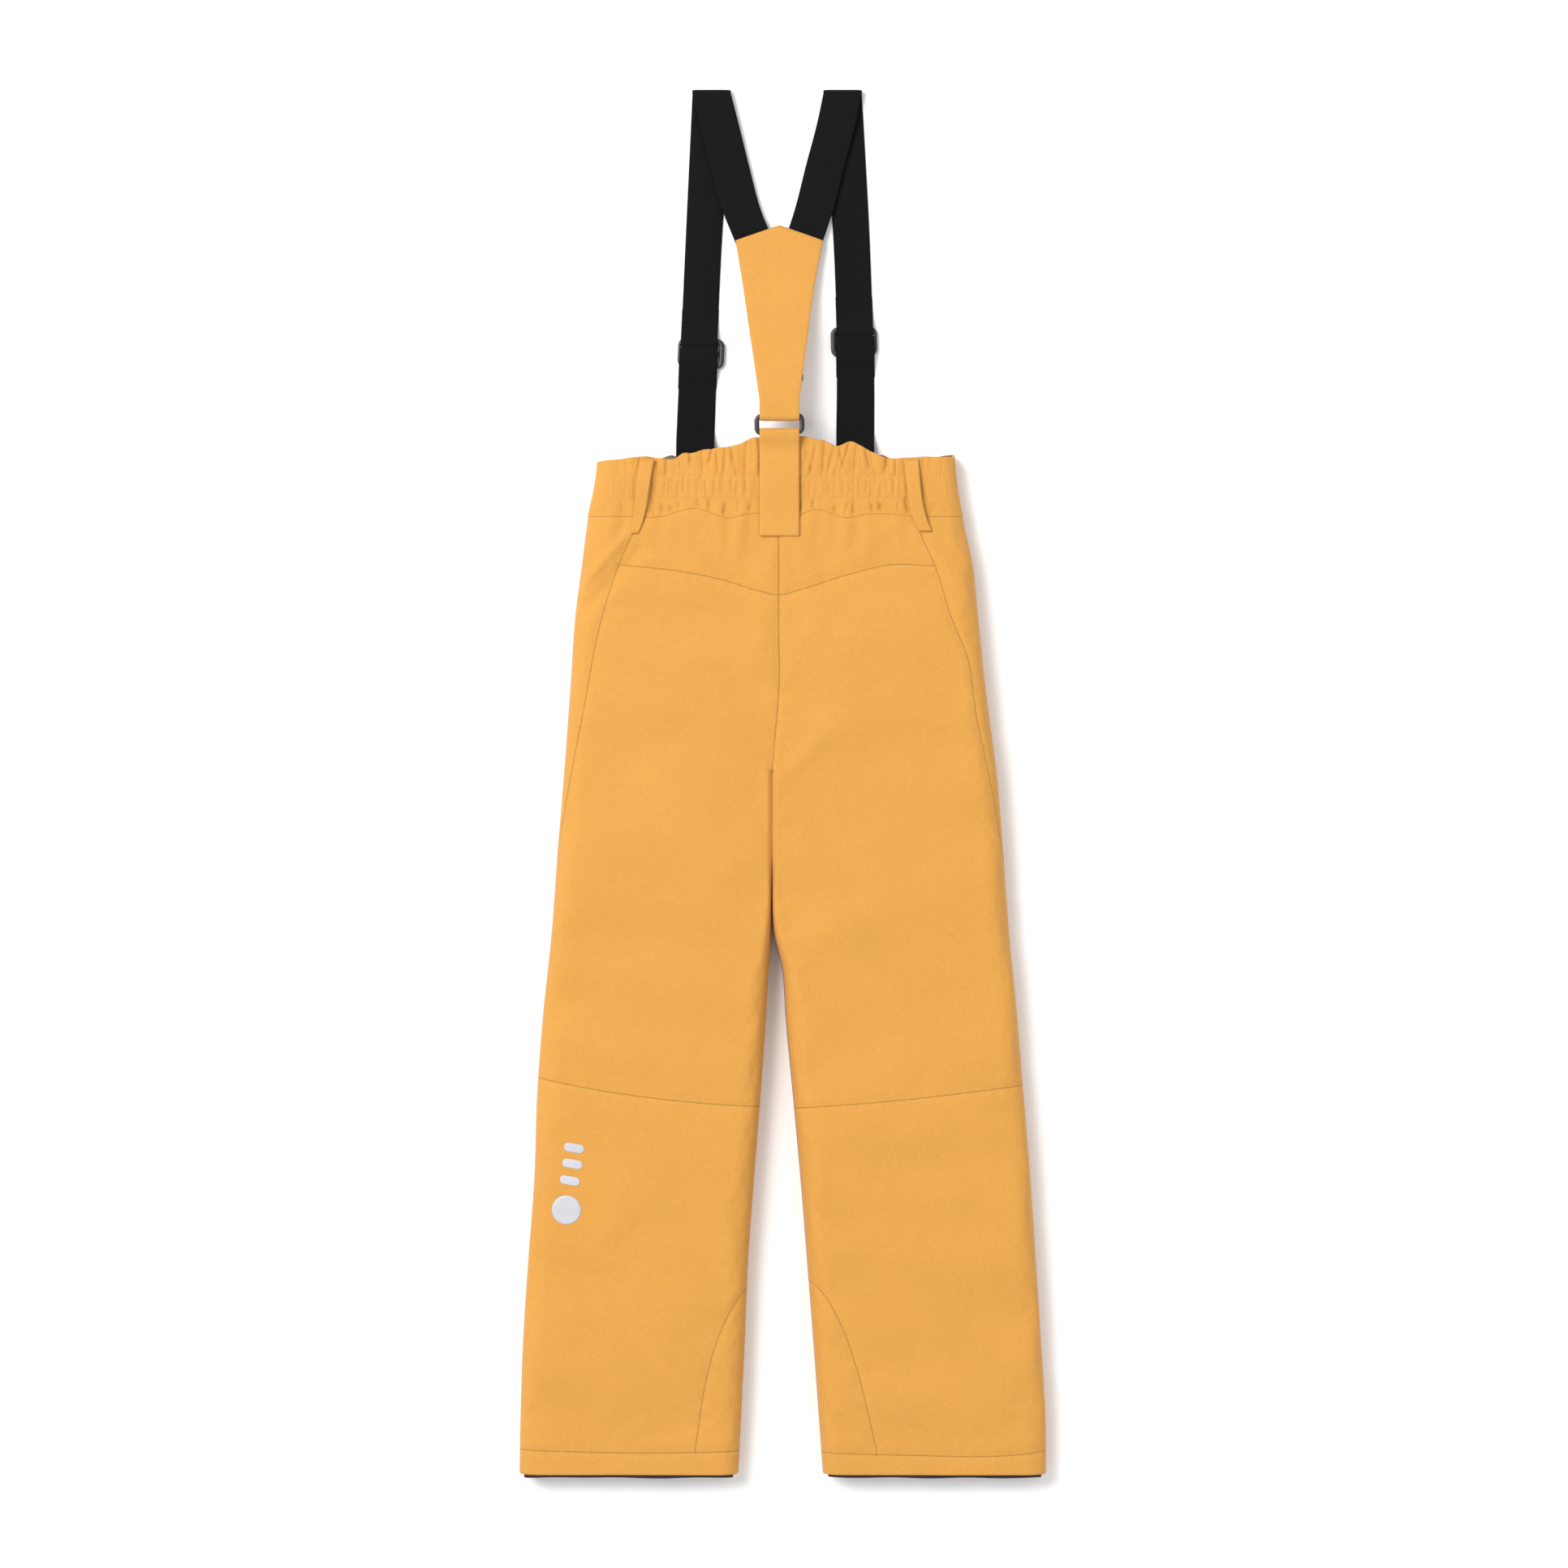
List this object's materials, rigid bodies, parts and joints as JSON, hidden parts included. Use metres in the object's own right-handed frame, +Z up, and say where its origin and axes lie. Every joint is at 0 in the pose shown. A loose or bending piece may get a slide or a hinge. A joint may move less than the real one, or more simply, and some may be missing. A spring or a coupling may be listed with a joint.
{
  "type": "insulated trousers with braces",
  "caption": "Child's padded snow trousers laid flat, back side up, with elastic webbing braces joined by a Y-shaped back piece and a ring.",
  "frame": {"origin": "centre of the outline on the surface the trousers lie on", "axes": "+X towards the right leg seen from behind, +Y from the hems towards the braces, +Z up out of the back side"},
  "size_m": [0.3975, 1.0483, 0.036],
  "materials": {
    "shell_fabric": "matte woven",
    "lining_fabric": "smooth taffeta",
    "gaiter_fabric": "matte",
    "webbing": "ribbed elastic",
    "elastic": "ribbed elastic",
    "black_plastic": "satin",
    "zip_tape": "woven tape",
    "snap_metal": "satin",
    "reflective": "reflective film"
  },
  "bodies": {
    "trousers": {"back_yoke_panel": "shell_fabric", "seat_lining": "lining_fabric", "waistband_back": "shell_fabric", "waistband_front": "shell_fabric", "waistband_facing": "lining_fabric", "waist_elastic": "elastic", "centre_tab": "shell_fabric", "fly_placket": "shell_fabric", "fly_zip_tape": "zip_tape", "waist_snap": "snap_metal", "side_panel_left": "shell_fabric", "back_panel_left": "shell_fabric", "front_panel_left": "shell_fabric", "thigh_lining_left": "lining_fabric", "belt_loop_left": "shell_fabric", "strap_anchor_left": "webbing", "side_panel_right": "shell_fabric", "back_panel_right": "shell_fabric", "front_panel_right": "shell_fabric", "thigh_lining_right": "lining_fabric", "belt_loop_right": "shell_fabric", "strap_anchor_right": "webbing"},
    "lower_leg_left": {"shin_back_left": "shell_fabric", "shin_front_left": "shell_fabric", "ankle_guard_left": "shell_fabric", "shin_lining_left": "lining_fabric", "hem_left": "shell_fabric", "gaiter_left": "gaiter_fabric", "reflective_bars": "reflective", "plain_disc": "reflective"},
    "lower_leg_right": {"shin_back_right": "shell_fabric", "shin_front_right": "shell_fabric", "ankle_guard_right": "shell_fabric", "shin_lining_right": "lining_fabric", "hem_right": "shell_fabric", "gaiter_right": "gaiter_fabric"},
    "braces": {"ring": "black_plastic", "yoke": "shell_fabric", "tail_slider": "black_plastic", "webbing_left": "webbing", "webbing_right": "webbing"},
    "strap_slider_left": {"strap_slider_left": "black_plastic"},
    "strap_slider_right": {"strap_slider_right": "black_plastic"},
    "fly_zip_slider": {"fly_zip_slider": "black_plastic"}
  },
  "joints": [
    {"name": "left_knee_fold", "type": "hinge", "parent": "trousers", "child": "lower_leg_left", "pos_m": [-0.1, -0.236, 0.033], "axis": [-1, 0, 0], "range_deg": [0, 150]},
    {"name": "right_knee_fold", "type": "hinge", "parent": "trousers", "child": "lower_leg_right", "pos_m": [0.1, -0.236, 0.033], "axis": [-1, 0, 0], "range_deg": [0, 150]},
    {"name": "braces_fold", "type": "hinge", "parent": "trousers", "child": "braces", "pos_m": [-0.0034, 0.264, 0.03], "axis": [1, 0, 0], "range_deg": [0, 165]},
    {"name": "left_strap_adjust", "type": "slide", "parent": "braces", "child": "strap_slider_left", "axis": [0.047, 0.9989, 0], "range_m": [-0.045, 0.07]},
    {"name": "right_strap_adjust", "type": "slide", "parent": "braces", "child": "strap_slider_right", "axis": [-0.036, 0.9993, 0], "range_m": [-0.045, 0.07]},
    {"name": "fly_zip_open", "type": "slide", "parent": "trousers", "child": "fly_zip_slider", "axis": [0, -1, 0], "range_m": [0, 0.08]}
  ]
}
